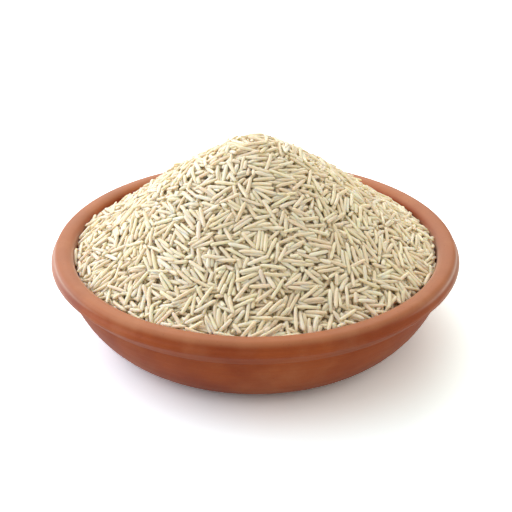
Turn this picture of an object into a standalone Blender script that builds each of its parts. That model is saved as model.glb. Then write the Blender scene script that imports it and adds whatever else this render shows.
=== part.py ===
# A shallow bowl of unglazed red clay, heaped to a cone with raw long-grain rice.
# Metres, +Z up. The origin is on the bowl's axis, on the surface that the bowl stands on.

import math
import random

import bmesh
import bpy
from mathutils import Matrix, Vector

MM = 0.001

# Bowl, driving sizes
RIM_RADIUS = 70.0 * MM          # outermost line of the rim
BOWL_HEIGHT = 31.5 * MM         # top of the rim above the table
BASE_RADIUS = 42.5 * MM         # flat underside
FLOOR_THICKNESS = 5.5 * MM
BODY_RADIUS = 64.7 * MM         # outside of the wall below the rim
BODY_TOP = 23.0 * MM            # where the wall starts to curve in
INNER_RADIUS = 62.2 * MM        # inside of the wall at the rim
INNER_BASE_RADIUS = 40.0 * MM

# Rim: a broad flattened roll with a thin bead under its outer edge
ROLL_WIDTH = 7.2 * MM
ROLL_RISE = 1.75 * MM
BEAD_RADIUS = 1.2 * MM
BEAD_HEIGHT = 28.6 * MM         # middle of the bead above the table
COVE_OUT = 1.2 * MM             # root of the hollow under the bead, out from the wall
COVE_UP = 3.0 * MM              # and up from the top of the wall's curve

# Exponents of the two wall curves: up and down, then in and out
BODY_CURVE = (1.33, 2.1)
INNER_CURVE = (1.4, 2.2)

# Rice heap
HEAP_PEAK = 69.6 * MM           # tip of the heap above the table
HEAP_SLOPE = 0.56               # fall for each unit outwards, just below the rounded tip
HEAP_SWELL = 2.34               # further fall, for each square metre of the radius squared
PEAK_ROUNDING = 7.5 * MM
LUMP_HEIGHT = 0.45 * MM         # broad unevenness of the poured heap
LUMP_SPAN = 26.0 * MM
LUMP_HEADING = math.radians(23.0)
BUMP_HEIGHT = 0.45 * MM         # relief of the size of a grain
BUMP_SPAN = 9.0 * MM
BUMP_HEADING = math.radians(63.0)
WAVE_SWAY = (0.6, 0.7)          # how far, and how often, each wave sways across the other
CORE_DEPTH = 1.25 * MM          # the bare core under the tops of the grains
WALL_GAP = 0.35 * MM            # between rice and clay

# Rice grains
GRAIN_LENGTH = 7.8 * MM
GRAIN_WIDTH = 1.75 * MM
GRAIN_THICKNESS = 1.5 * MM
LENGTH_SPREAD = 0.16            # share by which a grain may be longer or shorter
GRAIN_COUNT = 220
GRAIN_SIDES = 4
GRAIN_SHOULDER = 0.29           # where a grain starts to taper, as a share of its length
GRAIN_TILT = math.radians(9.0)
GRAIN_LIFT = 0.35 * MM
DRAW_SEED = 11

# Meshing
TURN_STEPS = 60
WALL_POINTS = 6
ROLL_POINTS = 7
BEAD_POINTS = 4
COVE_POINTS = 3
CORE_GRID = 5.0 * MM
MERGE = 0.00001
GOLDEN_TURN = math.pi * (3.0 - math.sqrt(5.0))

CLAY_COLOUR = (0.44, 0.145, 0.070, 1.0)
RICE_COLOUR = (0.70, 0.62, 0.45, 1.0)


def clear_scene():
    for obj in list(bpy.data.objects):
        bpy.data.objects.remove(obj, do_unlink=True)


def new_collection(name):
    collection = bpy.data.collections.new(name)
    bpy.context.scene.collection.children.link(collection)
    return collection


def new_material(name, colour, roughness):
    material = bpy.data.materials.new(name)
    material.use_nodes = True
    shader = material.node_tree.nodes["Principled BSDF"]
    shader.inputs["Base Color"].default_value = colour
    shader.inputs["Roughness"].default_value = roughness
    shader.inputs["Metallic"].default_value = 0.0
    return material


def new_object(name, mesh, collection):
    obj = bpy.data.objects.new(name, mesh)
    collection.objects.link(obj)
    return obj


def wall_curve(radius_top, radius_base, z_top, z_base, powers, count):
    # A quarter of a superellipse, from the top of the wall down and in to the flat
    down, inward = powers
    points = []
    for i in range(count + 1):
        turn = 0.5 * math.pi * i / count
        r = radius_base + (radius_top - radius_base) * math.cos(turn) ** (2.0 / inward)
        z = z_top - (z_top - z_base) * math.sin(turn) ** (2.0 / down)
        points.append((r, z))
    return points


def arc(centre, halves, start, end, count):
    # Part of an ellipse, given its two half-axes
    points = []
    for i in range(count + 1):
        turn = start + (end - start) * i / count
        points.append((centre[0] + halves[0] * math.cos(turn), centre[1] + halves[1] * math.sin(turn)))
    return points


def cove(start, end, root, count):
    # A hollow curve between two points, drawn towards its root
    points = []
    for i in range(1, count):
        t = i / count
        points.append(tuple((1 - t) ** 2 * a + 2 * t * (1 - t) * c + t * t * b
                            for a, c, b in zip(start, root, end)))
    return points


def inner_wall(gap):
    return wall_curve(INNER_RADIUS - gap, INNER_BASE_RADIUS - gap, BOWL_HEIGHT - ROLL_RISE,
                      FLOOR_THICKNESS + gap, INNER_CURVE, WALL_POINTS)


def rim_outline():
    # The bead springs from straight below the roll's outer edge, so a fine groove parts them
    half = 0.5 * ROLL_WIDTH
    roll = (INNER_RADIUS + half, BOWL_HEIGHT - ROLL_RISE)
    bead = (RIM_RADIUS - BEAD_RADIUS, BEAD_HEIGHT)
    spring = math.acos((roll[0] + half - bead[0]) / BEAD_RADIUS)
    outline = arc(roll, (half, ROLL_RISE), math.pi, 0.0, ROLL_POINTS)
    outline += arc(bead, (BEAD_RADIUS, BEAD_RADIUS), spring, -0.5 * math.pi, BEAD_POINTS)
    foot = (BODY_RADIUS, BODY_TOP)
    root = (BODY_RADIUS + COVE_OUT, BODY_TOP + COVE_UP)
    return outline + cove(outline[-1], foot, root, COVE_POINTS)


def bowl_outline():
    # From the middle of the inside, up the wall, over the rim and down to the base
    inside = [(0.0, FLOOR_THICKNESS)] + inner_wall(0.0)[::-1][:-1]
    outside = wall_curve(BODY_RADIUS, BASE_RADIUS, BODY_TOP, 0.0, BODY_CURVE, WALL_POINTS + 1)
    return inside + rim_outline() + outside + [(0.0, 0.0)]


def turned(name, outline, collection):
    mesh = bpy.data.meshes.new(name)
    edges = [(i, i + 1) for i in range(len(outline) - 1)]
    mesh.from_pydata([(r, 0.0, z) for r, z in outline], edges, [])
    obj = new_object(name, mesh, collection)
    screw = obj.modifiers.new("turn", "SCREW")
    screw.axis = "Z"
    screw.angle = 2.0 * math.pi
    screw.steps = TURN_STEPS
    screw.render_steps = TURN_STEPS
    screw.use_merge_vertices = True
    screw.merge_threshold = MERGE
    screw.use_smooth_shade = False
    return obj


def waves(x, y, span, heading):
    # A gentle egg-box pattern, turned so that it follows neither axis
    u = (x * math.cos(heading) + y * math.sin(heading)) * 2.0 * math.pi / span
    v = (y * math.cos(heading) - x * math.sin(heading)) * 2.0 * math.pi / span
    far, often = WAVE_SWAY
    return 0.5 * (math.sin(u + far * math.sin(often * v)) + math.sin(v + far * math.sin(often * u)))


def heap_height(x, y):
    r = math.hypot(x, y)
    fall = HEAP_SLOPE * (math.hypot(r, PEAK_ROUNDING) - PEAK_ROUNDING) + HEAP_SWELL * r * r
    lumps = LUMP_HEIGHT * waves(x, y, LUMP_SPAN, LUMP_HEADING) * min(1.0, r / LUMP_SPAN)
    return HEAP_PEAK - fall + lumps


def core_height(x, y):
    return heap_height(x, y) - CORE_DEPTH + BUMP_HEIGHT * waves(x, y, BUMP_SPAN, BUMP_HEADING)


def heap_normal(x, y):
    step = 0.5 * MM
    slope_x = (heap_height(x + step, y) - heap_height(x - step, y)) / (2.0 * step)
    slope_y = (heap_height(x, y + step) - heap_height(x, y - step)) / (2.0 * step)
    return Vector((-slope_x, -slope_y, 1.0)).normalized()


def build_mound(collection):
    # A square block whose top is the bumpy face of the heap
    count = math.ceil(2.0 * INNER_RADIUS / CORE_GRID) + 1
    half = 0.5 * count * CORE_GRID
    bm = bmesh.new()
    bmesh.ops.create_grid(bm, x_segments=count, y_segments=count, size=half)
    top = list(bm.verts)
    for vert in top:
        vert.co.z = core_height(vert.co.x, vert.co.y)
    made = bmesh.ops.extrude_face_region(bm, geom=list(bm.faces))
    for item in made["geom"]:
        if isinstance(item, bmesh.types.BMVert):
            item.co.z = -FLOOR_THICKNESS
    bmesh.ops.recalc_face_normals(bm, faces=list(bm.faces))
    mesh = bpy.data.meshes.new("mound")
    bm.to_mesh(mesh)
    bm.free()
    mound = new_object("mound", mesh, collection)
    mound.hide_render = True
    mound.display_type = "WIRE"
    return mound


def build_core(collection, helpers):
    # The bowl's filling, turned up to above the heap, then cut to the heap's face
    above = (INNER_RADIUS - WALL_GAP, HEAP_PEAK + GRAIN_LENGTH)
    outline = [(0.0, above[1]), above] + inner_wall(WALL_GAP) + [(0.0, FLOOR_THICKNESS + WALL_GAP)]
    rice = turned("rice", outline, collection)
    mound = build_mound(helpers)
    cut = rice.modifiers.new("heap", "BOOLEAN")
    cut.operation = "INTERSECT"
    cut.object = mound
    apply_modifiers(rice)
    bpy.data.objects.remove(mound, do_unlink=True)
    return rice


def apply_modifiers(obj):
    graph = bpy.context.evaluated_depsgraph_get()
    mesh = bpy.data.meshes.new_from_object(obj.evaluated_get(graph))
    obj.modifiers.clear()
    obj.data = mesh


def grain_mesh():
    # A spindle of unit length along X: two rings of few sides and two blunt tips
    bm = bmesh.new()
    half = 0.5
    bmesh.ops.create_uvsphere(bm, u_segments=GRAIN_SIDES, v_segments=3, radius=half)
    for vert in bm.verts:
        around = math.hypot(vert.co.x, vert.co.y)
        if around > MERGE:
            grow = half / around
            vert.co = (vert.co.x * grow, vert.co.y * grow, math.copysign(GRAIN_SHOULDER, vert.co.z))
    bm.transform(Matrix.Rotation(0.5 * math.pi, 4, "Y"))
    mesh = bpy.data.meshes.new("grain")
    bm.to_mesh(mesh)
    bm.free()
    return mesh


def grain_pose(x, y, heading, tilt, size):
    # Lies on the heap's slope, heading round the slope's normal, one end a little up
    normal = heap_normal(x, y)
    along = Vector((math.cos(heading), math.sin(heading), 0.0))
    along = (along - normal * along.dot(normal)).normalized()
    along = (along * math.cos(tilt) + normal * math.sin(tilt)).normalized()
    side = normal.cross(along).normalized()
    up = along.cross(side)
    frame = Matrix((along, side, up)).transposed().to_4x4()
    middle = Vector((x, y, heap_height(x, y))) - normal * 0.5 * size[2]
    return Matrix.Translation(middle) @ frame @ Matrix.Diagonal((*size, 1.0))


def clears_wall(pose):
    limit = INNER_RADIUS - WALL_GAP - 0.5 * GRAIN_WIDTH
    ends = [pose @ Vector((0.5 * sign, 0.0, 0.0)) for sign in (-1.0, 1.0)]
    return all(math.hypot(end.x, end.y) < limit for end in ends)


def lay_grains(collection):
    # Evenly spread on a sunflower spiral. One that would cross the wall turns along it
    draw = random.Random(DRAW_SEED)
    mesh = grain_mesh()
    reach = INNER_RADIUS - WALL_GAP - 0.75 * GRAIN_WIDTH
    for i in range(GRAIN_COUNT):
        r = reach * math.sqrt((i + 0.5) / GRAIN_COUNT)
        bearing = i * GOLDEN_TURN
        x, y = r * math.cos(bearing), r * math.sin(bearing)
        heading = draw.uniform(0.0, math.pi)
        tilt = draw.uniform(-GRAIN_TILT, GRAIN_TILT)
        length = GRAIN_LENGTH * (1.0 + draw.uniform(-LENGTH_SPREAD, LENGTH_SPREAD))
        lift = draw.uniform(-GRAIN_LIFT, 0.0)
        size = (length, GRAIN_WIDTH, GRAIN_THICKNESS)
        pose = grain_pose(x, y, heading, tilt, size)
        if not clears_wall(pose):
            pose = grain_pose(x, y, bearing + 0.5 * math.pi, 0.0, size)
        if not clears_wall(pose):
            continue
        grain = new_object(f"grain_{i:03d}", mesh, collection)
        grain.matrix_world = Matrix.Translation((0.0, 0.0, lift)) @ pose


def keep_outer_shell(obj):
    # Drops loose scraps, and fills hollows that the fusing sealed
    bm = bmesh.new()
    bm.from_mesh(obj.data)
    left = set(bm.verts)
    islands = []
    while left:
        island = set()
        edge = [left.pop()]
        while edge:
            vert = edge.pop()
            island.add(vert)
            for linked in vert.link_edges:
                other = linked.other_vert(vert)
                if other in left:
                    left.remove(other)
                    edge.append(other)
        islands.append(island)
    islands.sort(key=len)
    for island in islands[:-1]:
        bmesh.ops.delete(bm, geom=list(island), context="VERTS")
    bmesh.ops.triangulate(bm, faces=list(bm.faces))
    bm.to_mesh(obj.data)
    bm.free()


def build_rice(collection, helpers):
    rice = build_core(collection, helpers)
    grains = new_collection("grains")
    lay_grains(grains)
    bpy.context.view_layer.update()
    fuse = rice.modifiers.new("fuse", "BOOLEAN")
    fuse.operation = "UNION"
    fuse.operand_type = "COLLECTION"
    fuse.collection = grains
    apply_modifiers(rice)
    for grain in list(grains.objects):
        bpy.data.objects.remove(grain, do_unlink=True)
    bpy.data.collections.remove(grains)
    keep_outer_shell(rice)
    rice.data.materials.clear()
    rice.data.materials.append(new_material("rice", RICE_COLOUR, 0.5))
    return rice


def build_bowl(collection):
    bowl = turned("bowl", bowl_outline(), collection)
    apply_modifiers(bowl)
    bowl.data.shade_smooth()
    bowl.data.set_sharp_from_angle(angle=math.radians(40.0))
    bowl.data.materials.append(new_material("clay", CLAY_COLOUR, 0.8))
    return bowl


def main():
    clear_scene()
    parts = new_collection("bowl_of_rice")
    helpers = new_collection("cutters")
    build_bowl(parts)
    build_rice(parts, helpers)


main()
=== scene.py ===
import math

import bpy
import numpy as np
from mathutils import Matrix, Vector


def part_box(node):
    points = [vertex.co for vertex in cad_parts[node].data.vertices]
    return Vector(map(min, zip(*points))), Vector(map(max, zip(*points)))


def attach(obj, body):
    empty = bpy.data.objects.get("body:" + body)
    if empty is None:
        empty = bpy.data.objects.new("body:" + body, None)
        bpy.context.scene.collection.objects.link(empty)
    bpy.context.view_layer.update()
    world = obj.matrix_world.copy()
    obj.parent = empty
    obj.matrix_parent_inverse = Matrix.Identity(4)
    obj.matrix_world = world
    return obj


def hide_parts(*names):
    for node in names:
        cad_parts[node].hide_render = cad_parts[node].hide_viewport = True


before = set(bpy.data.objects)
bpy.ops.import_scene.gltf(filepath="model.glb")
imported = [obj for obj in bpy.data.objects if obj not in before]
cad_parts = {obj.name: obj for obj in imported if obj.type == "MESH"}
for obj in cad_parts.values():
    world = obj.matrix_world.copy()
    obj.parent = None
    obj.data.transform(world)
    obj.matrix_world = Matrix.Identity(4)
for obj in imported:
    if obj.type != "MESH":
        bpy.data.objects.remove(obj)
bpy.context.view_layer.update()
bowlLow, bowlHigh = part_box("bowl")
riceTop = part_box("rice")[1].z
mm = 0.001
print("frame loaded, bowl is", round((bowlHigh.x - bowlLow.x) / mm, 1), "mm across")


# Small helpers

def meshPiece(name, points, faces, material, values=None):
    # points is N x 3, faces M x 3, values holds named numbers or vectors for each point
    mesh = bpy.data.meshes.new(name)
    mesh.vertices.add(len(points))
    mesh.vertices.foreach_set("co", points.astype(np.float32).ravel())
    mesh.loops.add(faces.size)
    mesh.loops.foreach_set("vertex_index", faces.astype(np.int32).ravel())
    mesh.polygons.add(len(faces))
    mesh.polygons.foreach_set("loop_start", np.arange(0, faces.size, 3, dtype=np.int32))
    mesh.update(calc_edges=True)
    for valueName, numbers in (values or {}).items():
        isVector = numbers.ndim == 2
        layer = mesh.attributes.new(valueName, "FLOAT_VECTOR" if isVector else "FLOAT", "POINT")
        layer.data.foreach_set("vector" if isVector else "value", numbers.astype(np.float32).ravel())
    mesh.validate()
    mesh.shade_smooth()
    mesh.materials.append(material)
    piece = bpy.data.objects.new(name, mesh)
    bpy.context.scene.collection.objects.link(piece)
    return piece


def smoothWave(x, y, span, heading, sway=(0.6, 0.7)):
    # A gentle egg-box pattern, turned so that it follows neither axis
    u = (x * math.cos(heading) + y * math.sin(heading)) * 2 * math.pi / span
    v = (y * math.cos(heading) - x * math.sin(heading)) * 2 * math.pi / span
    far, often = sway
    return 0.5 * (np.sin(u + far * np.sin(often * v)) + np.sin(v + far * np.sin(often * u)))


# Shader helpers and shared groups

class NodeSheet:
    # Lays nodes out from left to right and links them by name
    spacing = 190

    def __init__(self, tree):
        self.tree = tree
        self.column = 0

    def add(self, kind, settings=None, **inputs):
        node = self.tree.nodes.new(kind)
        node.location = (self.column * self.spacing, 0)
        self.column += 1
        for key, value in (settings or {}).items():
            setattr(node, key, value)
        for key, value in inputs.items():
            self.feed(node, key.replace("_", " "), value)
        return node

    def feed(self, node, socketName, value):
        socket = node.inputs[int(socketName[1:])] if socketName[:1] == "#" else node.inputs[socketName]
        if isinstance(value, bpy.types.NodeSocket):
            self.tree.links.new(value, socket)
        else:
            socket.default_value = value

    def math(self, operation, first, second=0.0, third=None, clamp=False):
        node = self.add("ShaderNodeMath", {"operation": operation, "use_clamp": clamp})
        self.feed(node, "#0", first)
        self.feed(node, "#1", second)
        if third is not None:
            self.feed(node, "#2", third)
        return node.outputs[0]

    def ramp(self, value, low, high):
        # 0 at low, 1 at high, eased between them
        node = self.add("ShaderNodeMapRange", {"interpolation_type": "SMOOTHSTEP"})
        self.feed(node, "Value", value)
        self.feed(node, "From Min", low)
        self.feed(node, "From Max", high)
        return node.outputs["Result"]

    def mixColour(self, share, first, second, blend="MIX"):
        node = self.add("ShaderNodeMix", {"data_type": "RGBA", "blend_type": blend})
        self.feed(node, "#0", share)
        self.feed(node, "#6", first)
        self.feed(node, "#7", second)
        return node.outputs[2]

    def noise(self, vector, scale, detail=3.0, roughness=0.55):
        node = self.add("ShaderNodeTexNoise", Scale=scale, Detail=detail, Roughness=roughness)
        self.feed(node, "Vector", vector)
        return node.outputs[0]


def newGroup(name, inputs, outputs):
    group = bpy.data.node_groups.new(name, "ShaderNodeTree")
    for socketName, kind, value in inputs:
        socket = group.interface.new_socket(socketName, in_out="INPUT", socket_type=kind)
        if value is not None:
            socket.default_value = value
    for socketName, kind in outputs:
        group.interface.new_socket(socketName, in_out="OUTPUT", socket_type=kind)
    sheet = NodeSheet(group)
    start = sheet.add("NodeGroupInput")
    return group, sheet, start.outputs


def closeGroup(sheet, **outputs):
    end = sheet.add("NodeGroupOutput")
    for key, value in outputs.items():
        sheet.feed(end, key.replace("_", " "), value)


def makeMottleGroup():
    # Two sizes of soft cloudiness between a dark and a light colour
    group, sheet, given = newGroup("softMottle", [
        ("Vector", "NodeSocketVector", None),
        ("Dark", "NodeSocketColor", (0.3, 0.1, 0.05, 1)),
        ("Light", "NodeSocketColor", (0.6, 0.25, 0.15, 1)),
        ("Broad Scale", "NodeSocketFloat", 40.0),
        ("Fine Scale", "NodeSocketFloat", 900.0),
        ("Fine Share", "NodeSocketFloat", 0.3),
    ], [("Colour", "NodeSocketColor"), ("Height", "NodeSocketFloat")])
    broad = sheet.noise(given["Vector"], given["Broad Scale"], 4.0)
    fine = sheet.noise(given["Vector"], given["Fine Scale"], 2.0, 0.7)
    speckled = sheet.math("MULTIPLY", sheet.math("SUBTRACT", fine, 0.5), given["Fine Share"])
    both = sheet.math("ADD", sheet.ramp(broad, 0.3, 0.7), speckled, clamp=True)
    closeGroup(sheet, Colour=sheet.mixColour(both, given["Dark"], given["Light"]), Height=fine)
    return group


streakLook = {
    "along": 1.6,               # how often the pattern changes along a grain
    "across": 3.2,              # and across it
    "spread": 37.0,             # moves each grain to its own part of the pattern
    "chalkEdge": 0.72,
    "chalkSoftness": 0.14,
    "tipFrom": 0.8,
    "tipShare": 0.45,
    "toneLow": 0.90,
    "toneRange": 0.16,
}


def makeStreakGroup():
    # Lengthwise streaks in a grain, from its own coordinates and its own tone
    group, sheet, given = newGroup("grainStreaks", [
        ("Clear", "NodeSocketColor", (0.7, 0.6, 0.4, 1)),
        ("Chalk", "NodeSocketColor", (0.9, 0.85, 0.75, 1)),
        ("Chalk Share", "NodeSocketFloat", 0.4),
        ("Tip", "NodeSocketColor", (0.6, 0.45, 0.25, 1)),
        ("Warm", "NodeSocketColor", (1.0, 0.972, 0.96, 1)),
        ("Green", "NodeSocketColor", (0.98, 1.0, 0.92, 1)),
    ], [("Colour", "NodeSocketColor"), ("Height", "NodeSocketFloat")])
    local = sheet.add("ShaderNodeAttribute", {"attribute_name": "grainPlace"}).outputs["Vector"]
    tone = sheet.add("ShaderNodeAttribute", {"attribute_name": "grainTone"}).outputs["Fac"]
    parts = sheet.add("ShaderNodeSeparateXYZ")
    sheet.feed(parts, "Vector", local)
    along = parts.outputs["X"]
    stretched = sheet.add("ShaderNodeCombineXYZ")
    start = sheet.math("MULTIPLY", tone, streakLook["spread"])
    sheet.feed(stretched, "X", sheet.math("MULTIPLY_ADD", along, streakLook["along"], start))
    for axis in "YZ":
        sheet.feed(stretched, axis, sheet.math("MULTIPLY", parts.outputs[axis], streakLook["across"]))
    streaks = sheet.noise(stretched.outputs[0], 1.0, 3.0, 0.6)
    edge = sheet.math("SUBTRACT", streakLook["chalkEdge"], sheet.math("MULTIPLY", given["Chalk Share"], 0.5))
    chalk = sheet.ramp(streaks, sheet.math("SUBTRACT", edge, streakLook["chalkSoftness"]), edge)
    colour = sheet.mixColour(chalk, given["Clear"], given["Chalk"])
    nearTip = sheet.ramp(sheet.math("ABSOLUTE", along), streakLook["tipFrom"], 1.0)
    tipShare = sheet.math("MULTIPLY", nearTip, streakLook["tipShare"])
    colour = sheet.mixColour(tipShare, colour, given["Tip"])
    # Some grains are pinker, some a little greener
    hue = sheet.add("ShaderNodeAttribute", {"attribute_name": "grainHue"}).outputs["Fac"]
    tint = sheet.mixColour(hue, given["Warm"], given["Green"])
    colour = sheet.mixColour(1.0, colour, tint, "MULTIPLY")
    shade = sheet.math("MULTIPLY_ADD", tone, streakLook["toneRange"], streakLook["toneLow"])
    grey = sheet.add("ShaderNodeCombineColor")
    for channel in ("Red", "Green", "Blue"):
        sheet.feed(grey, channel, shade)
    colour = sheet.mixColour(1.0, colour, grey.outputs[0], "MULTIPLY")
    closeGroup(sheet, Colour=colour, Height=streaks)
    return group


mottleGroup = makeMottleGroup()
streakGroup = makeStreakGroup()


def newMaterial(name, **plain):
    material = bpy.data.materials.new(name)
    material.use_nodes = True
    sheet = NodeSheet(material.node_tree)
    shader = material.node_tree.nodes["Principled BSDF"]
    for key, value in plain.items():
        shader.inputs[key.replace("_", " ")].default_value = value
    return material, sheet, shader


def placeGroup(sheet, group, **inputs):
    return sheet.add("ShaderNodeGroup", {"node_tree": group}, **inputs).outputs


# The clay bowl

bowl = {
    "height": bowlHigh.z + 0.5 * mm,
    "baseRadius": 43.0 * mm,
    "floor": 5.5 * mm,
    "bodyRadius": 65.3 * mm,
    "bodyTop": 22.4 * mm,
    "innerRadius": 62.6 * mm,
    "innerBaseRadius": 40.0 * mm,
    "crown": 66.3 * mm,         # radius of the lip's highest line
    "rollRise": 2.6 * mm,
    "rollBoxiness": 2.9,
    "outerRoll": (69.0 * mm, 29.9 * mm),
    "crease": (69.05 * mm, 29.45 * mm),
    "beadReach": bowlHigh.x + 0.25 * mm,
    "beadRadius": 1.35 * mm,
    "beadHeight": 28.05 * mm,
    "beadTurn": (math.radians(52), math.radians(-22)),
    "coveOut": 2.8 * mm,
    "coveUp": 2.6 * mm,
    "bodyCurve": (1.33, 2.1),
    "innerCurve": (1.4, 2.2),
    "wear": 9,                  # smoothing passes that round the crease and the bead
    "steps": 288,
    "rollSteps": 16,
    "beadSteps": 12,
    "coveSteps": 14,
    "rimPoints": 110,
    "outerPoints": 60,
    "innerPoints": 50,
    "flatRings": 12,
    "outOfRound": 0.22 * mm,
    "ringDepth": 0.012 * mm,    # ridges left by the potter's fingers
    "ringSpan": 2.6 * mm,
    "dark": (0.262, 0.048, 0.0095, 1),
    "light": (0.365, 0.083, 0.0168, 1),
    "line": (0.24, 0.043, 0.010, 1),
    "lineShare": 0.20,
    "lineDrift": 14.0,          # the turning lines change this slowly round the bowl
    "lineFineness": 1500.0,     # and this fast across them
    "speck": (0.10, 0.032, 0.016, 1),
    "speckShare": 0.20,
    # pale dust colour, also used for the painted highlight on top of the lip
    "dustAndLipHighlight": (0.66, 0.345, 0.175, 1),
    "paleShare": 0.14,          # pale dust, in patches all over
    "lipHighlightShare": 0.30,       # and as a painted highlight on top of the lip, between these two heights
    "lipHighlightRise": (30.0 * mm, 31.6 * mm),
    # painted sheen: the rim's outer edge is painted this pale where it turns from the eye
    "bloom": (0.88, 0.66, 0.50, 1),
    "paintedSheenShare": 0.45,
    "paintedSheenTurn": (0.30, 0.88),  # how far the face turns away as the painted sheen comes in
    "bloomFoot": (27.7 * mm, 28.5 * mm),
    "paintedSheenHead": (31.8 * mm, 30.3 * mm),
    "sheen": (1.0, 0.93, 0.84, 1),
}


def wallCurve(top, base, powers, count):
    # A quarter of a superellipse, from the top of the wall down and in to the flat
    down, inward = powers
    turn = np.linspace(0, 0.5 * math.pi, count + 1)
    cosine = np.clip(np.cos(turn), 0, 1)
    r = base[0] + (top[0] - base[0]) * cosine ** (2 / inward)
    z = top[1] - (top[1] - base[1]) * np.sin(turn) ** (2 / down)
    return np.column_stack([r, z])


def arcPoints(centre, halves, start, end, count):
    turn = np.linspace(start, end, count + 1)
    return np.column_stack([centre[0] + halves[0] * np.cos(turn), centre[1] + halves[1] * np.sin(turn)])


def covePoints(start, end, root, count):
    t = np.linspace(0, 1, count + 1)[1:-1, None]
    return (1 - t) ** 2 * start + 2 * t * (1 - t) * root + t * t * end


def innerWall(gap, count=40):
    top = (bowl["innerRadius"] - gap, bowl["height"] - bowl["rollRise"])
    base = (bowl["innerBaseRadius"] - gap, bowl["floor"] + gap)
    return wallCurve(top, base, bowl["innerCurve"], count)


def rimOutline():
    # The lip from the inner wall over to the body: a low roll, a crease, a thin bead and a cove under it
    half = 0.5 * math.pi
    inner = (bowl["innerRadius"], bowl["height"] - bowl["rollRise"])
    outer = bowl["outerRoll"]
    halves = (bowl["crown"] - inner[0], bowl["rollRise"])
    innerArc = arcPoints((bowl["crown"], inner[1]), halves, math.pi, half, bowl["rollSteps"])
    turn = np.linspace(half, 0, bowl["rollSteps"] + 1)[1:]
    boxy = 2 / bowl["rollBoxiness"]
    outerArc = np.column_stack([
        bowl["crown"] + (outer[0] - bowl["crown"]) * np.clip(np.cos(turn), 0, 1) ** boxy,
        outer[1] + (bowl["height"] - outer[1]) * np.sin(turn) ** boxy])
    bead = (bowl["beadReach"] - bowl["beadRadius"], bowl["beadHeight"])
    beadArc = arcPoints(bead, (bowl["beadRadius"], bowl["beadRadius"]), *bowl["beadTurn"], bowl["beadSteps"])
    foot = np.array([bowl["bodyRadius"], bowl["bodyTop"]])
    root = foot + np.array([bowl["coveOut"], bowl["coveUp"]])
    under = covePoints(beadArc[-1], foot, root, bowl["coveSteps"])
    return np.concatenate([innerArc, outerArc, [bowl["crease"]], beadArc, under])


def bowlOutline():
    rim = evenOutline(rimOutline(), bowl["rimPoints"])
    for _ in range(bowl["wear"]):
        rim[1:-1] = 0.25 * rim[:-2] + 0.5 * rim[1:-1] + 0.25 * rim[2:]
    foot = np.array([bowl["bodyRadius"], bowl["bodyTop"]])
    count = bowl["outerPoints"]
    outside = evenOutline(wallCurve(foot, (bowl["baseRadius"], 0.0), bowl["bodyCurve"], count), count)
    inside = evenOutline(innerWall(0.0), bowl["innerPoints"])[::-1]
    rings = bowl["flatRings"]
    flatIn = np.column_stack([np.linspace(0.0, inside[0, 0], rings)[:-1], np.full(rings - 1, bowl["floor"])])
    flatOut = np.column_stack([np.linspace(outside[-1, 0], 0.0, rings)[1:], np.zeros(rings - 1)])
    return np.concatenate([flatIn, inside[:-1], rim, outside, flatOut])


def evenOutline(outline, count):
    # The same outline with evenly spaced points
    length = np.concatenate([[0], np.cumsum(np.hypot(*np.diff(outline, axis=0).T))])
    keep = np.concatenate([[True], np.diff(length) > 1e-7])
    at = np.linspace(0, length[-1], count)
    return np.column_stack([np.interp(at, length[keep], outline[keep, k]) for k in (0, 1)])


def turnedMesh(outline, steps, shift):
    # Both ends of the outline lie on the axis. shift moves each point out by a rule
    turn = np.arange(steps) * 2 * math.pi / steps
    ring = outline[1:-1]
    r = ring[:, 0][:, None] + shift(ring, turn)
    z = np.broadcast_to(ring[:, 1][:, None], r.shape)
    points = np.stack([r * np.cos(turn), r * np.sin(turn), z], axis=2).reshape(-1, 3)
    ends = np.array([[0, 0, outline[0, 1]], [0, 0, outline[-1, 1]]])
    points = np.concatenate([points, ends])
    step = np.arange(steps)
    after = (step + 1) % steps
    rows = np.arange(len(ring) - 1)[:, None] * steps
    a, b = rows + step, rows + after
    c, d = a + steps, b + steps
    faces = [np.stack([a, b, d], 2).reshape(-1, 3), np.stack([a, d, c], 2).reshape(-1, 3)]
    first, last = len(points) - 2, len(points) - 1
    faces.append(np.column_stack([np.full(steps, first), after, step]))
    base = (len(ring) - 1) * steps
    faces.append(np.column_stack([np.full(steps, last), base + step, base + after]))
    return points, np.concatenate(faces)


def handThrown(ring, turn):
    # Slightly out of round near the rim, with faint throwing rings
    high = ring[:, 1][:, None]
    tall = np.clip(high / bowl["height"], 0, 1)
    oval = np.sin(2 * turn + 0.7) + 0.5 * np.sin(3 * turn + 2.1) - 1.2
    waver = 0.8 * np.sin(turn) + 0.5 * np.sin(2 * turn)
    rings = np.sin(2 * math.pi * high / bowl["ringSpan"] + waver)
    return bowl["outOfRound"] * 0.5 * oval * tall + bowl["ringDepth"] * rings * (1 - tall ** 8)


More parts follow.
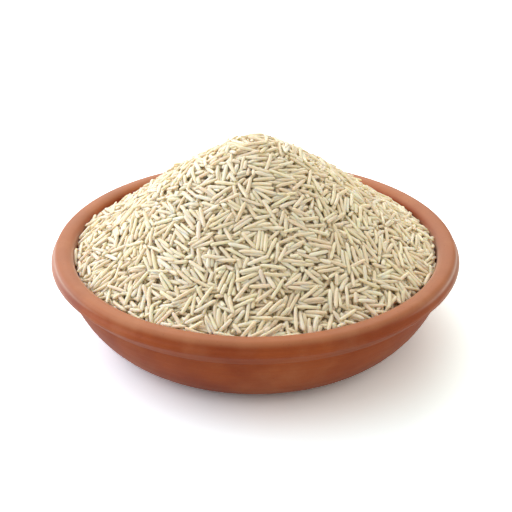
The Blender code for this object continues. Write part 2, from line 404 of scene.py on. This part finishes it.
def clayMaterial():
    material, sheet, shader = newMaterial("firedClay", Roughness=0.5, Specular_IOR_Level=0.18,
                                          Sheen_Weight=0.07, Sheen_Roughness=0.3)
    shader.inputs["Sheen Tint"].default_value = bowl["sheen"]
    place = sheet.add("ShaderNodeTexCoord").outputs["Object"]
    parts = sheet.add("ShaderNodeSeparateXYZ")
    sheet.feed(parts, "Vector", place)
    x, y, z = (parts.outputs[k] for k in "XYZ")
    squares = sheet.math("ADD", sheet.math("MULTIPLY", x, x), sheet.math("MULTIPLY", y, y))
    radius = sheet.math("SQRT", squares)
    # Turning lines run round the bowl: fine across them, slow along them
    across = sheet.add("ShaderNodeCombineXYZ")
    fineRadius = sheet.math("MULTIPLY", radius, bowl["lineFineness"])
    sheet.feed(across, "X", sheet.math("MULTIPLY_ADD", x, bowl["lineDrift"], fineRadius))
    sheet.feed(across, "Y", sheet.math("MULTIPLY", y, bowl["lineDrift"]))
    sheet.feed(across, "Z", sheet.math("MULTIPLY", z, bowl["lineFineness"]))
    lines = sheet.noise(across.outputs[0], 1.0, 2.0, 0.6)
    body = placeGroup(sheet, mottleGroup, Vector=place, Dark=bowl["dark"], Light=bowl["light"],
                      Broad_Scale=42.0, Fine_Scale=2600.0, Fine_Share=0.5)
    lineShare = sheet.math("MULTIPLY", sheet.ramp(lines, 0.42, 0.72), bowl["lineShare"])
    streaked = sheet.mixColour(lineShare, body["Colour"], bowl["line"])
    film = sheet.noise(place, 60.0, 5.0, 0.6)
    # Pale dust lies thin in patches on the body; the top of the lip is painted paler still, a painted
    # highlight where the light falls on it
    lipHighlight = sheet.math("MULTIPLY", sheet.ramp(z, *bowl["lipHighlightRise"]), bowl["lipHighlightShare"])
    paleShare = sheet.math("MULTIPLY_ADD", sheet.ramp(film, 0.45, 0.75), bowl["paleShare"], lipHighlight)
    dustAndPaintedLight = sheet.mixColour(paleShare, streaked, bowl["dustAndLipHighlight"])
    # Painted sheen: where the rim's outer edge turns away from the eye it is painted paler, standing in for
    # the white surroundings reflected there
    turning = sheet.add("ShaderNodeLayerWeight", Blend=0.5).outputs["Facing"]
    paintedSheenBand = sheet.math("MULTIPLY", sheet.ramp(z, *bowl["bloomFoot"]), sheet.ramp(z, *bowl["paintedSheenHead"]))
    paintedSheenMask = sheet.math("MULTIPLY", sheet.ramp(turning, *bowl["paintedSheenTurn"]), paintedSheenBand)
    dustAndPaintedLight = sheet.mixColour(sheet.math("MULTIPLY", paintedSheenMask, bowl["paintedSheenShare"]), dustAndPaintedLight, bowl["bloom"])
    # Small dark specks in the clay
    specks = sheet.add("ShaderNodeTexVoronoi", {"feature": "F1"}, Scale=520.0)
    sheet.feed(specks, "Vector", place)
    nearSpeck = sheet.ramp(specks.outputs["Distance"], 0.14, 0.08)
    speckShare = sheet.math("MULTIPLY", nearSpeck, bowl["speckShare"])
    colour = sheet.mixColour(speckShare, dustAndPaintedLight, bowl["speck"])
    sheet.feed(shader, "Base Color", colour)
    sheet.feed(shader, "Roughness", sheet.math("MULTIPLY_ADD", film, 0.20, 0.38))
    fine = sheet.math("MULTIPLY", body["Height"], 0.5)
    heights = sheet.math("ADD", sheet.math("MULTIPLY", lines, 0.7), fine)
    bump = sheet.add("ShaderNodeBump", Strength=0.35, Distance=0.00012)
    sheet.feed(bump, "Height", heights)
    sheet.feed(shader, "Normal", bump.outputs[0])
    return material


def buildBowl():
    outline = bowlOutline()
    points, faces = turnedMesh(outline, bowl["steps"], handThrown)
    piece = meshPiece("clayBowl", points, faces, clayMaterial())
    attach(piece, "root")
    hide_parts("bowl")
    print("bowl turned:", len(faces), "triangles")


# The heap and its grains

heap = {
    "peak": riceTop - 1.0 * mm,
    "slope": 0.59,
    "swell": 2.1,
    "rounding": 7.0 * mm,
    "edgeLift": 1.2 * mm,       # the heap leans up against the lip
    "edgeLiftFrom": 56.0 * mm,
    "lumpHeight": 0.45 * mm,
    "lumpSpan": 26.0 * mm,
    "lumpHeading": math.radians(23),
    "mapStep": 0.25 * mm,
    "mapMargin": 3 * mm,
    "pointsAlong": 25,          # where a grain is felt for what lies under it
    "pointsAcross": 7,
    "trySkip": 3,
    "tryInside": 1.2 * mm,      # no grain's middle is tried nearer the wall
    "recount": 8,               # tries before the hollows are measured again
    "shallow": 0.45 * mm,       # hollows less deep than this take no grain
    "spots": (1, 4),            # hollows tried for each grain
    "lastSpots": 12,            # and this many once few places are left
    "fewLeft": 60,              # refusals in a row that show this
    "patience": 0.7,            # a hollow that refused a grain is tried this much less
    "slide": 0.3,               # how far along itself a grain may lie off the hollow
    "shakeTries": 14,
    "edgeFrom": 53.0 * mm,
    "edgeShare": 0.5,
    "edgeSway": 0.7,
    "edgeOver": 1.3 * mm,       # how far the tips may reach over the lip
    "edgeRoom": 2.6 * mm,       # and how far back from there they may end
    "tipReach": 0.47,           # from a grain's middle to its tip, seen from above
    "edgeProud": 0.7 * mm,      # how much more a grain may stand out there
    # How far a grain shifts and turns as it settles
    "shakes": ((0.7 * mm, 0.16), (0.3 * mm, 0.08)),
    "press": 0.42 * mm,         # how far grains dig into each other
    "tiltRange": 0.70,
    "tiltSteps": 19,
    "rollShare": 0.7,           # how far a grain leans with the slope beside it
    # How far a grain may stand above the heap's face
    "proud": (0.2 * mm, 1.1 * mm),
    "mostGrains": 7000,
    "mostRefused": 500,
    "seed": 11,
}

core = {
    "depth": 3.6 * mm,          # from the grains' tops straight down to the core
    "bump": 0.45 * mm,
    "bumpSpan": 4.2 * mm,
    "bumpHeading": 1.1,
    "wallGap": 0.35 * mm,
    "belowTop": 1.5 * mm,       # its side starts this far under its top
    "lap": 0.1 * mm,
    "steps": 240,
    "topRings": 110,
    "wallPoints": 60,
    "flatRings": 14,
    # darker than the grains themselves: painted shade deep in the gaps
    "dark": (0.62, 0.47, 0.28, 1),
    "light": (0.88, 0.74, 0.52, 1),
}

grainKinds = {
    # Share of the heap, sizes in millimetres, bow as a share of the length, then the finish
    "slenderGrains": {
        "share": 0.27, "length": (7.0, 8.8), "width": (1.14, 1.32), "thick": (0.98, 1.12), "bow": 0.02,
        "clear": (0.90, 0.72, 0.47, 1), "chalk": (0.95, 0.82, 0.62, 1), "chalkShare": 0.45, "rough": 0.34,
    },
    "fullGrains": {
        "share": 0.25, "length": (6.6, 8.1), "width": (1.24, 1.44), "thick": (1.04, 1.18), "bow": 0.015,
        "clear": (0.88, 0.69, 0.44, 1), "chalk": (0.94, 0.80, 0.59, 1), "chalkShare": 0.50, "rough": 0.38,
    },
    "bowedGrains": {
        "share": 0.24, "length": (7.0, 8.7), "width": (1.16, 1.34), "thick": (0.98, 1.12), "bow": 0.05,
        "clear": (0.90, 0.73, 0.485, 1), "chalk": (0.96, 0.83, 0.63, 1), "chalkShare": 0.40, "rough": 0.32,
    },
    "chalkyGrains": {
        "share": 0.14, "length": (6.4, 7.9), "width": (1.28, 1.50), "thick": (1.06, 1.20), "bow": 0.02,
        "clear": (0.92, 0.775, 0.555, 1), "chalk": (0.97, 0.86, 0.68, 1), "chalkShare": 0.90, "rough": 0.55,
    },
    "brokenGrains": {
        "share": 0.10, "length": (3.3, 5.4), "width": (1.22, 1.46), "thick": (1.04, 1.18), "bow": 0.01,
        "clear": (0.91, 0.74, 0.50, 1), "chalk": (0.96, 0.83, 0.63, 1), "chalkShare": 0.60, "rough": 0.50,
    },
}

grainForm = {
    "taper": 5.6,               # higher keeps the sides parallel for longer
    "point": 0.50,              # higher makes sharper tips
    "sides": 8,
    "rings": 8,
    "notchFrom": 0.75,          # the germ's place, cut back by this much down and along
    "notchDown": 0.10,
    "notchBack": 0.02,
    "breakAt": 0.55,            # where a broken grain ends, and how blunt
    "breakBlunt": 0.3,
    "breakNarrow": 1.5,
    "breakTip": 0.33,
}


def heapHeight(x, y):
    r = np.hypot(x, y)
    fall = heap["slope"] * (np.hypot(r, heap["rounding"]) - heap["rounding"]) + heap["swell"] * r * r
    lumps = heap["lumpHeight"] * smoothWave(x, y, heap["lumpSpan"], heap["lumpHeading"])
    up = np.clip((r - heap["edgeLiftFrom"]) / (bowl["innerRadius"] - heap["edgeLiftFrom"]), 0, 1)
    lift = heap["edgeLift"] * up * up * (3 - 2 * up)
    return heap["peak"] - fall + lift + lumps * np.minimum(1.0, r / heap["lumpSpan"])


def coreHeight(x, y):
    bumps = core["bump"] * smoothWave(x, y, core["bumpSpan"], core["bumpHeading"])
    return heapHeight(x, y) - core["depth"] + bumps


def rimHeight(r):
    off = np.clip((r - bowl["crown"]) / (bowl["crown"] - bowl["innerRadius"]), -1, 1)
    return bowl["height"] - bowl["rollRise"] * (1 - np.sqrt(1 - off * off))


def grainGirth(along):
    # Girth along a grain as a share of its widest, along from -1 to 1
    return (1 - np.abs(along) ** grainForm["taper"]) ** grainForm["point"]


def wallHeight(r):
    # Height of the inner wall over each radius, and of the rim beyond it
    wall = innerWall(0.0)[::-1]
    return np.where(r < bowl["innerRadius"], np.interp(r, wall[:, 0], wall[:, 1]), rimHeight(r))


class HeapMap:
    # The height of everything laid so far, on a square grid
    def __init__(self):
        self.step = heap["mapStep"]
        self.half = bowl["innerRadius"] + heap["mapMargin"]
        self.side = int(2 * self.half / self.step) + 1
        line = -self.half + self.step * np.arange(self.side)
        x, y = np.meshgrid(line, line, indexing="ij")
        r = np.hypot(x, y)
        wall = wallHeight(r)
        self.face = heapHeight(x, y)
        self.slopeX, self.slopeY = np.gradient(self.face, self.step)
        self.ground = np.where(r < bowl["innerRadius"], np.maximum(coreHeight(x, y), wall), wall)
        self.along = np.linspace(-1, 1, heap["pointsAlong"])[:, None]
        self.across = np.linspace(-1, 1, heap["pointsAcross"])[None, :]
        girth = grainGirth(self.along)
        self.outside = np.abs(self.across) > girth
        self.under = np.sqrt(np.clip(girth ** 2 - self.across ** 2, 0, None))
        # Every few cells a place where a grain may be tried
        every = heap["trySkip"]
        places = np.arange(every, self.side, every)
        tryX, tryY = np.meshgrid(places, places, indexing="ij")
        near = r[tryX, tryY] < bowl["innerRadius"] - heap["tryInside"]
        self.tryX, self.tryY = tryX[near], tryY[near]
        self.patience = np.ones(len(self.tryX))

    def cell(self, x, y):
        i = np.rint((x + self.half) / self.step).astype(int)
        j = np.rint((y + self.half) / self.step).astype(int)
        return np.clip(i, 0, self.side - 1), np.clip(j, 0, self.side - 1)

    def holes(self):
        # Running chances of the places to try: the deeper below the face, the likelier
        depth = self.face[self.tryX, self.tryY] - self.ground[self.tryX, self.tryY]
        chance = np.clip(depth - heap["shallow"], 0, None) ** 2 * self.patience
        return np.cumsum(chance)

    def rest(self, x, y, heading, grain):
        # The lowest level line on which the grain's axis can lie, held up on both sides of its middle
        i, j = self.cell(x, y)
        cosine, sine = np.cos(heading), np.sin(heading)
        forward = self.slopeX[i, j] * cosine + self.slopeY[i, j] * sine
        plan = 0.5 * grain["length"] / np.hypot(1, forward)
        t = plan[:, None, None] * self.along
        d = 0.5 * grain["width"] * self.across + grain["bow"] * (1 - self.along ** 2)
        cosine, sine = cosine[:, None, None], sine[:, None, None]
        overX = x[:, None, None] + t * cosine - d * sine
        overY = y[:, None, None] + t * sine + d * cosine
        under = self.cell(overX, overY)
        half = 0.5 * grain["thick"] * np.hypot(1, forward)
        need = self.ground[under] + half[:, None, None] * self.under - heap["press"]
        need[:, self.outside] = -1.0
        need = need.max(axis=2)
        tilts = forward[:, None] + np.linspace(-heap["tiltRange"], heap["tiltRange"], heap["tiltSteps"])
        levels = (need[:, None, :] - tilts[:, :, None] * t[:, None, :, 0]).max(axis=2)
        best = np.argmin(levels, axis=1)
        rows = np.arange(len(x))
        over = levels[rows, best] + half - self.face[i, j]
        return levels[rows, best], tilts[rows, best], over

    def lay(self, grain):
        x, y, level = grain["place"]
        heading, tilt = grain["heading"], grain["tilt"]
        plan = 0.5 * grain["length"] / math.hypot(1, tilt)
        reach = plan + grain["width"]
        (i0, i1), (j0, j1) = self.cell(np.array([x - reach, x + reach]), np.array([y - reach, y + reach]))
        dx = np.arange(i0, i1 + 1)[:, None] * self.step - self.half - x
        dy = np.arange(j0, j1 + 1)[None, :] * self.step - self.half - y
        t = dx * math.cos(heading) + dy * math.sin(heading)
        along = np.clip(t / plan, -1, 1)
        d = dy * math.cos(heading) - dx * math.sin(heading) - grain["bow"] * (1 - along ** 2)
        off = np.where(np.abs(t) < plan, 2 * d / grain["width"], 9.0)
        dome = grainGirth(along) ** 2 - off ** 2
        half = 0.5 * grain["thick"] * math.hypot(1, tilt)
        top = level + tilt * t + half * np.sqrt(np.clip(dome, 0, None))
        area = self.ground[i0:i1 + 1, j0:j1 + 1]
        np.maximum(area, np.where(dome > 0, top, -1.0), out=area)


def drawGrain(draw, names, shares):
    name = names[int(np.searchsorted(shares, draw.random()))]
    kind = grainKinds[name]
    grain = {key: draw.uniform(*kind[key]) * mm for key in ("length", "width", "thick")}
    grain["bow"] = kind["bow"] * grain["length"] * draw.uniform(0.4, 1.0) * draw.choice((-1.0, 1.0))
    grain["kind"] = name
    grain["tone"], grain["hue"] = draw.random(2)
    return grain


def settleGrain(pile, grain, x, y, heading, reach):
    # The best of these places and headings, and how far the grain would stand above the face there
    level, tilt, over = pile.rest(x, y, heading, grain)
    half = 0.5 * grain["length"] / np.hypot(1, tilt)
    for side in (-1, 1):
        end = np.hypot(x + side * half * np.cos(heading), y + side * half * np.sin(heading))
        over = np.where(end > reach, 1.0, over)
    best = int(np.argmin(over))
    return [float(line[best]) for line in (x, y, heading, level, tilt, over)]


def pourGrains():
    # Each grain is tried in a few hollows, turned every way, and shaken down to where it sits lowest
    draw = np.random.default_rng(heap["seed"])
    names = list(grainKinds)
    shares = np.cumsum([grainKinds[name]["share"] for name in names])
    shares[-1] = 1.0
    pile = HeapMap()
    laid = []
    refused = 0
    tries = 0
    while len(laid) < heap["mostGrains"] and refused < heap["mostRefused"]:
        if tries % heap["recount"] == 0:
            chances = pile.holes()
        tries += 1
        if chances[-1] <= 0:
            break
        grain = drawGrain(draw, names, shares)
        count = draw.integers(*heap["spots"]) if refused < heap["fewLeft"] else heap["lastSpots"]
        spots = np.searchsorted(chances, draw.random(count) * chances[-1])
        spots = np.clip(spots, 0, len(chances) - 1)
        x = pile.tryX[spots] * pile.step - pile.half
        y = pile.tryY[spots] * pile.step - pile.half
        # At the edge of the heap many grains point outwards
        headings = draw.uniform(0, math.pi, count)
        outward = np.arctan2(y, x) + draw.normal(0, heap["edgeSway"], count)
        atEdge = (np.hypot(x, y) > heap["edgeFrom"]) & (draw.random(count) < heap["edgeShare"])
        headings = np.where(atEdge, outward, headings)
        slide = draw.uniform(-heap["slide"], heap["slide"], count) * grain["length"]
        x, y = x + slide * np.cos(headings), y + slide * np.sin(headings)
        reach = bowl["innerRadius"] + heap["edgeOver"] - heap["edgeRoom"] * draw.random()
        # These are drawn back until their outer tips are where the heap ends
        half = heap["tipReach"] * grain["length"]
        past = np.hypot(x + half * np.cos(headings), y + half * np.sin(headings)) - reach
        back = np.where(atEdge, np.clip(past, 0, None), 0.0)
        x, y = x - back * np.cos(headings), y - back * np.sin(headings)
        found = settleGrain(pile, grain, x, y, headings, reach)
        proud = draw.uniform(*heap["proud"])
        if math.hypot(found[0], found[1]) > heap["edgeFrom"]:
            proud += heap["edgeProud"]
        for shift, turn in heap["shakes"]:
            if found[5] > proud + shift:
                break
            nearX, nearY, nearTurn = (found[k] + np.append(draw.normal(0, spread, heap["shakeTries"]), 0.0)
                                      for k, spread in enumerate((shift, shift, turn)))
            found = settleGrain(pile, grain, nearX, nearY, nearTurn, reach)
        x, y, heading, level, tilt, over = found
        if over > proud:
            refused += 1
            pile.patience[spots] *= heap["patience"]
            continue
        refused = 0
        i, j = pile.cell(np.array(x), np.array(y))
        sideways = float(pile.slopeY[i, j] * math.cos(heading) - pile.slopeX[i, j] * math.sin(heading))
        grain.update(place=(x, y, level), heading=heading, tilt=tilt,
                     roll=math.atan(heap["rollShare"] * sideways), turnedRound=draw.random() < 0.5)
        pile.lay(grain)
        laid.append(grain)
    depth = (pile.face - pile.ground)[pile.tryX, pile.tryY]
    print("hollows left, mm:", np.percentile(depth / mm, [5, 50, 90, 99]).round(2), "after", tries, "tries")
    return laid


def grainTemplate(broken):
    # One grain of unit size: x along, y and z across, the germ end cut back a little on one side
    sides, rings = grainForm["sides"], grainForm["rings"]
    along = -np.cos(np.pi * (np.arange(rings) + 1) / (rings + 1))
    girth = grainGirth(along)
    if broken:
        cut = grainForm["breakAt"]
        along = np.where(along > cut, cut + grainForm["breakBlunt"] * (along - cut), along)
        narrow = 1 - (along - 0.5) * grainForm["breakNarrow"]
        girth = np.where(along > 0.5, grainGirth(np.array(0.5)) * narrow, girth)
    turn = np.arange(sides) * 2 * math.pi / sides
    y = girth[:, None] * np.cos(turn) * 0.5
    z = girth[:, None] * np.sin(turn) * 0.5
    x = np.broadcast_to(0.5 * along[:, None], y.shape).copy()
    if not broken:
        start = grainForm["notchFrom"]
        notch = np.clip((along - start) / (1 - start), 0, 1)[:, None] * np.clip(np.sin(turn), 0, 1)
        z -= grainForm["notchDown"] * notch
        x -= grainForm["notchBack"] * notch
    points = np.stack([x, y, z], axis=2).reshape(-1, 3)
    tipEnd = grainForm["breakTip"] if broken else 0.5
    points = np.concatenate([points, [[-0.5, 0, 0], [tipEnd, 0, 0]]])
    step = np.arange(sides)
    after = (step + 1) % sides
    rows = np.arange(rings - 1)[:, None] * sides
    a, b = rows + step, rows + after
    c, d = a + sides, b + sides
    faces = [np.stack([a, b, d], 2).reshape(-1, 3), np.stack([a, d, c], 2).reshape(-1, 3)]
    last = (rings - 1) * sides
    faces.append(np.column_stack([np.full(sides, len(points) - 2), after, step]))
    faces.append(np.column_stack([np.full(sides, len(points) - 1), last + step, last + after]))
    return points, np.concatenate(faces)


def grainsOf(name, grains, material):
    points, faces = grainTemplate(name == "brokenGrains")
    local = points * 2.0
    allPoints, allTones, allHues = [], [], []
    for grain in grains:
        shape = points * np.array([grain["length"], grain["width"], grain["thick"]])
        if grain["turnedRound"]:
            shape = shape * np.array([-1, -1, 1])
        shape[:, 1] += grain["bow"] * (1 - 4 * points[:, 0] ** 2)
        heading = Matrix.Rotation(grain["heading"], 3, "Z")
        tilt = Matrix.Rotation(-math.atan(grain["tilt"]), 3, "Y")
        turned = heading @ tilt @ Matrix.Rotation(grain["roll"], 3, "X")
        allPoints.append(shape @ np.array(turned).T + np.array(grain["place"]))
        allTones.append(np.full(len(points), grain["tone"]))
        allHues.append(np.full(len(points), grain["hue"]))
    count = len(grains)
    offsets = (np.arange(count) * len(points))[:, None, None]
    allFaces = (faces[None, :, :] + offsets).reshape(-1, 3)
    values = {"grainPlace": np.tile(local, (count, 1)), "grainTone": np.concatenate(allTones),
              "grainHue": np.concatenate(allHues)}
    return meshPiece(name, np.concatenate(allPoints), allFaces, material, values)


riceLook = {
    "gloss": 0.5,
    "depth": 1.0 * mm,          # how deep light goes into a grain
    "glow": (1.0, 0.8, 0.55),   # and how far each colour spreads there
    "glowShare": 0.8,
    "sheen": 0.15,
    "sheenRough": 0.4,
    "tip": (0.74, 0.58, 0.36, 1),
}


def riceMaterial(name):
    finish = grainKinds[name]
    material, sheet, shader = newMaterial(
        name + "Finish", Roughness=finish["rough"], Specular_IOR_Level=riceLook["gloss"],
        Subsurface_Weight=riceLook["glowShare"], Subsurface_Scale=riceLook["depth"],
        Sheen_Weight=riceLook["sheen"], Sheen_Roughness=riceLook["sheenRough"])
    shader.inputs["Subsurface Radius"].default_value = riceLook["glow"]
    grain = placeGroup(sheet, streakGroup, Clear=finish["clear"], Chalk=finish["chalk"],
                       Chalk_Share=finish["chalkShare"], Tip=riceLook["tip"])
    sheet.feed(shader, "Base Color", grain["Colour"])
    bump = sheet.add("ShaderNodeBump", Strength=0.5, Distance=0.00014)
    sheet.feed(bump, "Height", grain["Height"])
    sheet.feed(shader, "Normal", bump.outputs[0])
    return material


def coreMaterial():
    # What shows deep between the grains, coloured darker than the grains themselves: painted shade for the
    # gaps
    material, sheet, shader = newMaterial("packedRiceInShade", Roughness=0.6)
    place = sheet.add("ShaderNodeTexCoord").outputs["Object"]
    packed = placeGroup(sheet, mottleGroup, Vector=place, Dark=core["dark"], Light=core["light"],
                        Broad_Scale=260.0, Fine_Scale=1500.0, Fine_Share=0.6)
    sheet.feed(shader, "Base Color", packed["Colour"])
    bump = sheet.add("ShaderNodeBump", Strength=0.6, Distance=0.0004)
    sheet.feed(bump, "Height", packed["Height"])
    sheet.feed(shader, "Normal", bump.outputs[0])
    return material


def buildCore():
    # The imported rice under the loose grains: the bowl's filling with a bumpy top
    count = core["wallPoints"]
    wall = evenOutline(innerWall(core["wallGap"], count), count)
    edge = wall[0, 0]
    edgeDrop = float(heapHeight(edge, 0.0)) - core["depth"]
    wall = wall[wall[:, 1] < edgeDrop - core["belowTop"]]
    rise = np.linspace(0.0, wall[0, 0] + core["lap"], core["topRings"])
    top = np.column_stack([rise, np.zeros(len(rise))])
    rings = core["flatRings"]
    flat = np.column_stack([np.linspace(wall[-1, 0], 0, rings)[1:], np.full(rings - 1, wall[-1, 1])])
    outline = np.concatenate([top, wall, flat])
    points, faces = turnedMesh(outline, core["steps"], lambda ring, turn: np.zeros((len(ring), len(turn))))
    onTop = np.arange(len(points)) < (len(rise) - 1) * core["steps"]
    onTop[-2] = True
    points[onTop, 2] = coreHeight(points[onTop, 0], points[onTop, 1])
    piece = meshPiece("packedRice", points, faces, coreMaterial())
    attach(piece, "root")
    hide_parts("rice")
    print("packed rice shaped:", len(faces), "triangles")


def buildRice():
    buildCore()
    laid = pourGrains()
    print("grains laid:", len(laid))
    for name in grainKinds:
        grains = [grain for grain in laid if grain["kind"] == name]
        piece = grainsOf(name, grains, riceMaterial(name))
        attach(piece, "root")
        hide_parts("rice")
        print(name, len(grains), "grains,", len(piece.data.polygons), "triangles")


# Floor, light and camera

studio = {
    "floorSize": 8.0,
    "floorLines": 41,
    "floorDrop": 0.05 * mm,
    "floorColour": (0.85, 0.85, 0.85, 1),
    # The camera sees the floor this bright, as a white sweep lit on its own
    "floorSeen": (1.46, 1.62, 1.62, 1),
    "skyColour": (1.0, 0.97, 0.93, 1),
    "skyStrength": 0.55,
    "lightsAim": Vector((0.0, 0.0, 0.035)),
    "lights": {
        # Place, size across, watts and colour
        "backLeftLight": ((-0.75, 0.75, 0.70), 1.60, 6.0, (1.0, 1.0, 1.03)),
        "backLight": ((0.0, 1.05, 0.80), 1.20, 7.4, (1.0, 0.965, 0.91)),
        "overheadLight": ((-0.2, 0.3, 1.0), 2.20, 1.4, (1.0, 0.97, 0.90)),
        "leftLight": ((-1.05, 0.20, 0.45), 1.60, 10.2, (0.94, 1.0, 1.31)),
        "rightLight": ((1.05, 0.10, 0.42), 0.90, 2.0, (1.0, 0.97, 0.92)),
        "frontLight": ((-0.2, -0.6, 1.1), 1.20, 1.8, (1.0, 0.95, 0.88)),
    },
}

view = {
    "elevation": math.radians(27.15),
    "distance": 0.363,
    "photoSize": 512,
    "focalPixels": 1042.3,
    "rimCentrePixel": (255.3, 245.6),   # where the middle of the rim is in the photograph
    "rimCentre": Vector((0.0, 0.0, 0.0286)),
    "sensorWidth": 36.0,
    "nearest": 0.01,
}


def buildFloor():
    size = studio["floorSize"]
    count = studio["floorLines"]
    line = np.linspace(-0.5 * size, 0.5 * size, count)
    x, y = np.meshgrid(line, line, indexing="ij")
    points = np.stack([x, y, np.zeros_like(x)], axis=2).reshape(-1, 3)
    cell = np.arange(count - 1)
    i, j = np.meshgrid(cell, cell, indexing="ij")
    a = (i * count + j).ravel()
    b = a + count
    faces = np.concatenate([np.column_stack([a, b, b + 1]), np.column_stack([a, b + 1, a + 1])])
    material, sheet, shader = newMaterial("paleFloor", Roughness=0.9, Specular_IOR_Level=0.0)
    sheet.tree.nodes.remove(shader)
    seen = sheet.add("ShaderNodeLightPath").outputs["Is Camera Ray"]
    bright = sheet.mixColour(seen, studio["floorColour"], studio["floorSeen"])
    diffuse = sheet.add("ShaderNodeBsdfDiffuse")
    sheet.feed(diffuse, "Color", bright)
    sheet.tree.links.new(diffuse.outputs[0], sheet.tree.nodes["Material Output"].inputs["Surface"])
    floor = meshPiece("studioFloor", points, faces, material)
    floor.location.z = -studio["floorDrop"]


def buildLight():
    world = bpy.data.worlds.new("studioSky")
    bpy.context.scene.world = world
    world.use_nodes = True
    background = world.node_tree.nodes["Background"]
    background.inputs["Color"].default_value = studio["skyColour"]
    background.inputs["Strength"].default_value = studio["skyStrength"]
    for name, (place, size, watts, colour) in studio["lights"].items():
        light = bpy.data.lights.new(name, "AREA")
        light.shape = "DISK"
        light.size = size
        light.energy = watts
        light.color = colour
        lamp = bpy.data.objects.new(name, light)
        lamp.location = place
        lamp.rotation_euler = (studio["lightsAim"] - Vector(place)).to_track_quat("-Z", "Y").to_euler()
        bpy.context.scene.collection.objects.link(lamp)


def buildCamera():
    lens = bpy.data.cameras.new("photoCamera")
    lens.sensor_width = view["sensorWidth"]
    lens.angle = 2 * math.atan(0.5 * view["photoSize"] / view["focalPixels"])
    lens.clip_start = view["nearest"]
    camera = bpy.data.objects.new("photoCamera", lens)
    rise = view["elevation"]
    place = view["rimCentre"] + view["distance"] * Vector((0.0, -math.cos(rise), math.sin(rise)))
    # A small turn puts the middle of the rim on its own pixel
    right = math.atan((0.5 * view["photoSize"] - view["rimCentrePixel"][0]) / view["focalPixels"])
    down = math.atan((0.5 * view["photoSize"] - view["rimCentrePixel"][1]) / view["focalPixels"])
    camera.matrix_world = (Matrix.Translation(place) @ Matrix.Rotation(-right, 4, "Z")
                           @ Matrix.Rotation(0.5 * math.pi - rise - down, 4, "X"))
    bpy.context.scene.collection.objects.link(camera)
    bpy.context.scene.camera = camera


bpy.context.scene.view_settings.view_transform = "Standard"
buildFloor()
buildLight()
buildCamera()
print("floor,", len(studio["lights"]), "lights and camera placed")
buildBowl()
buildRice()

print("done")
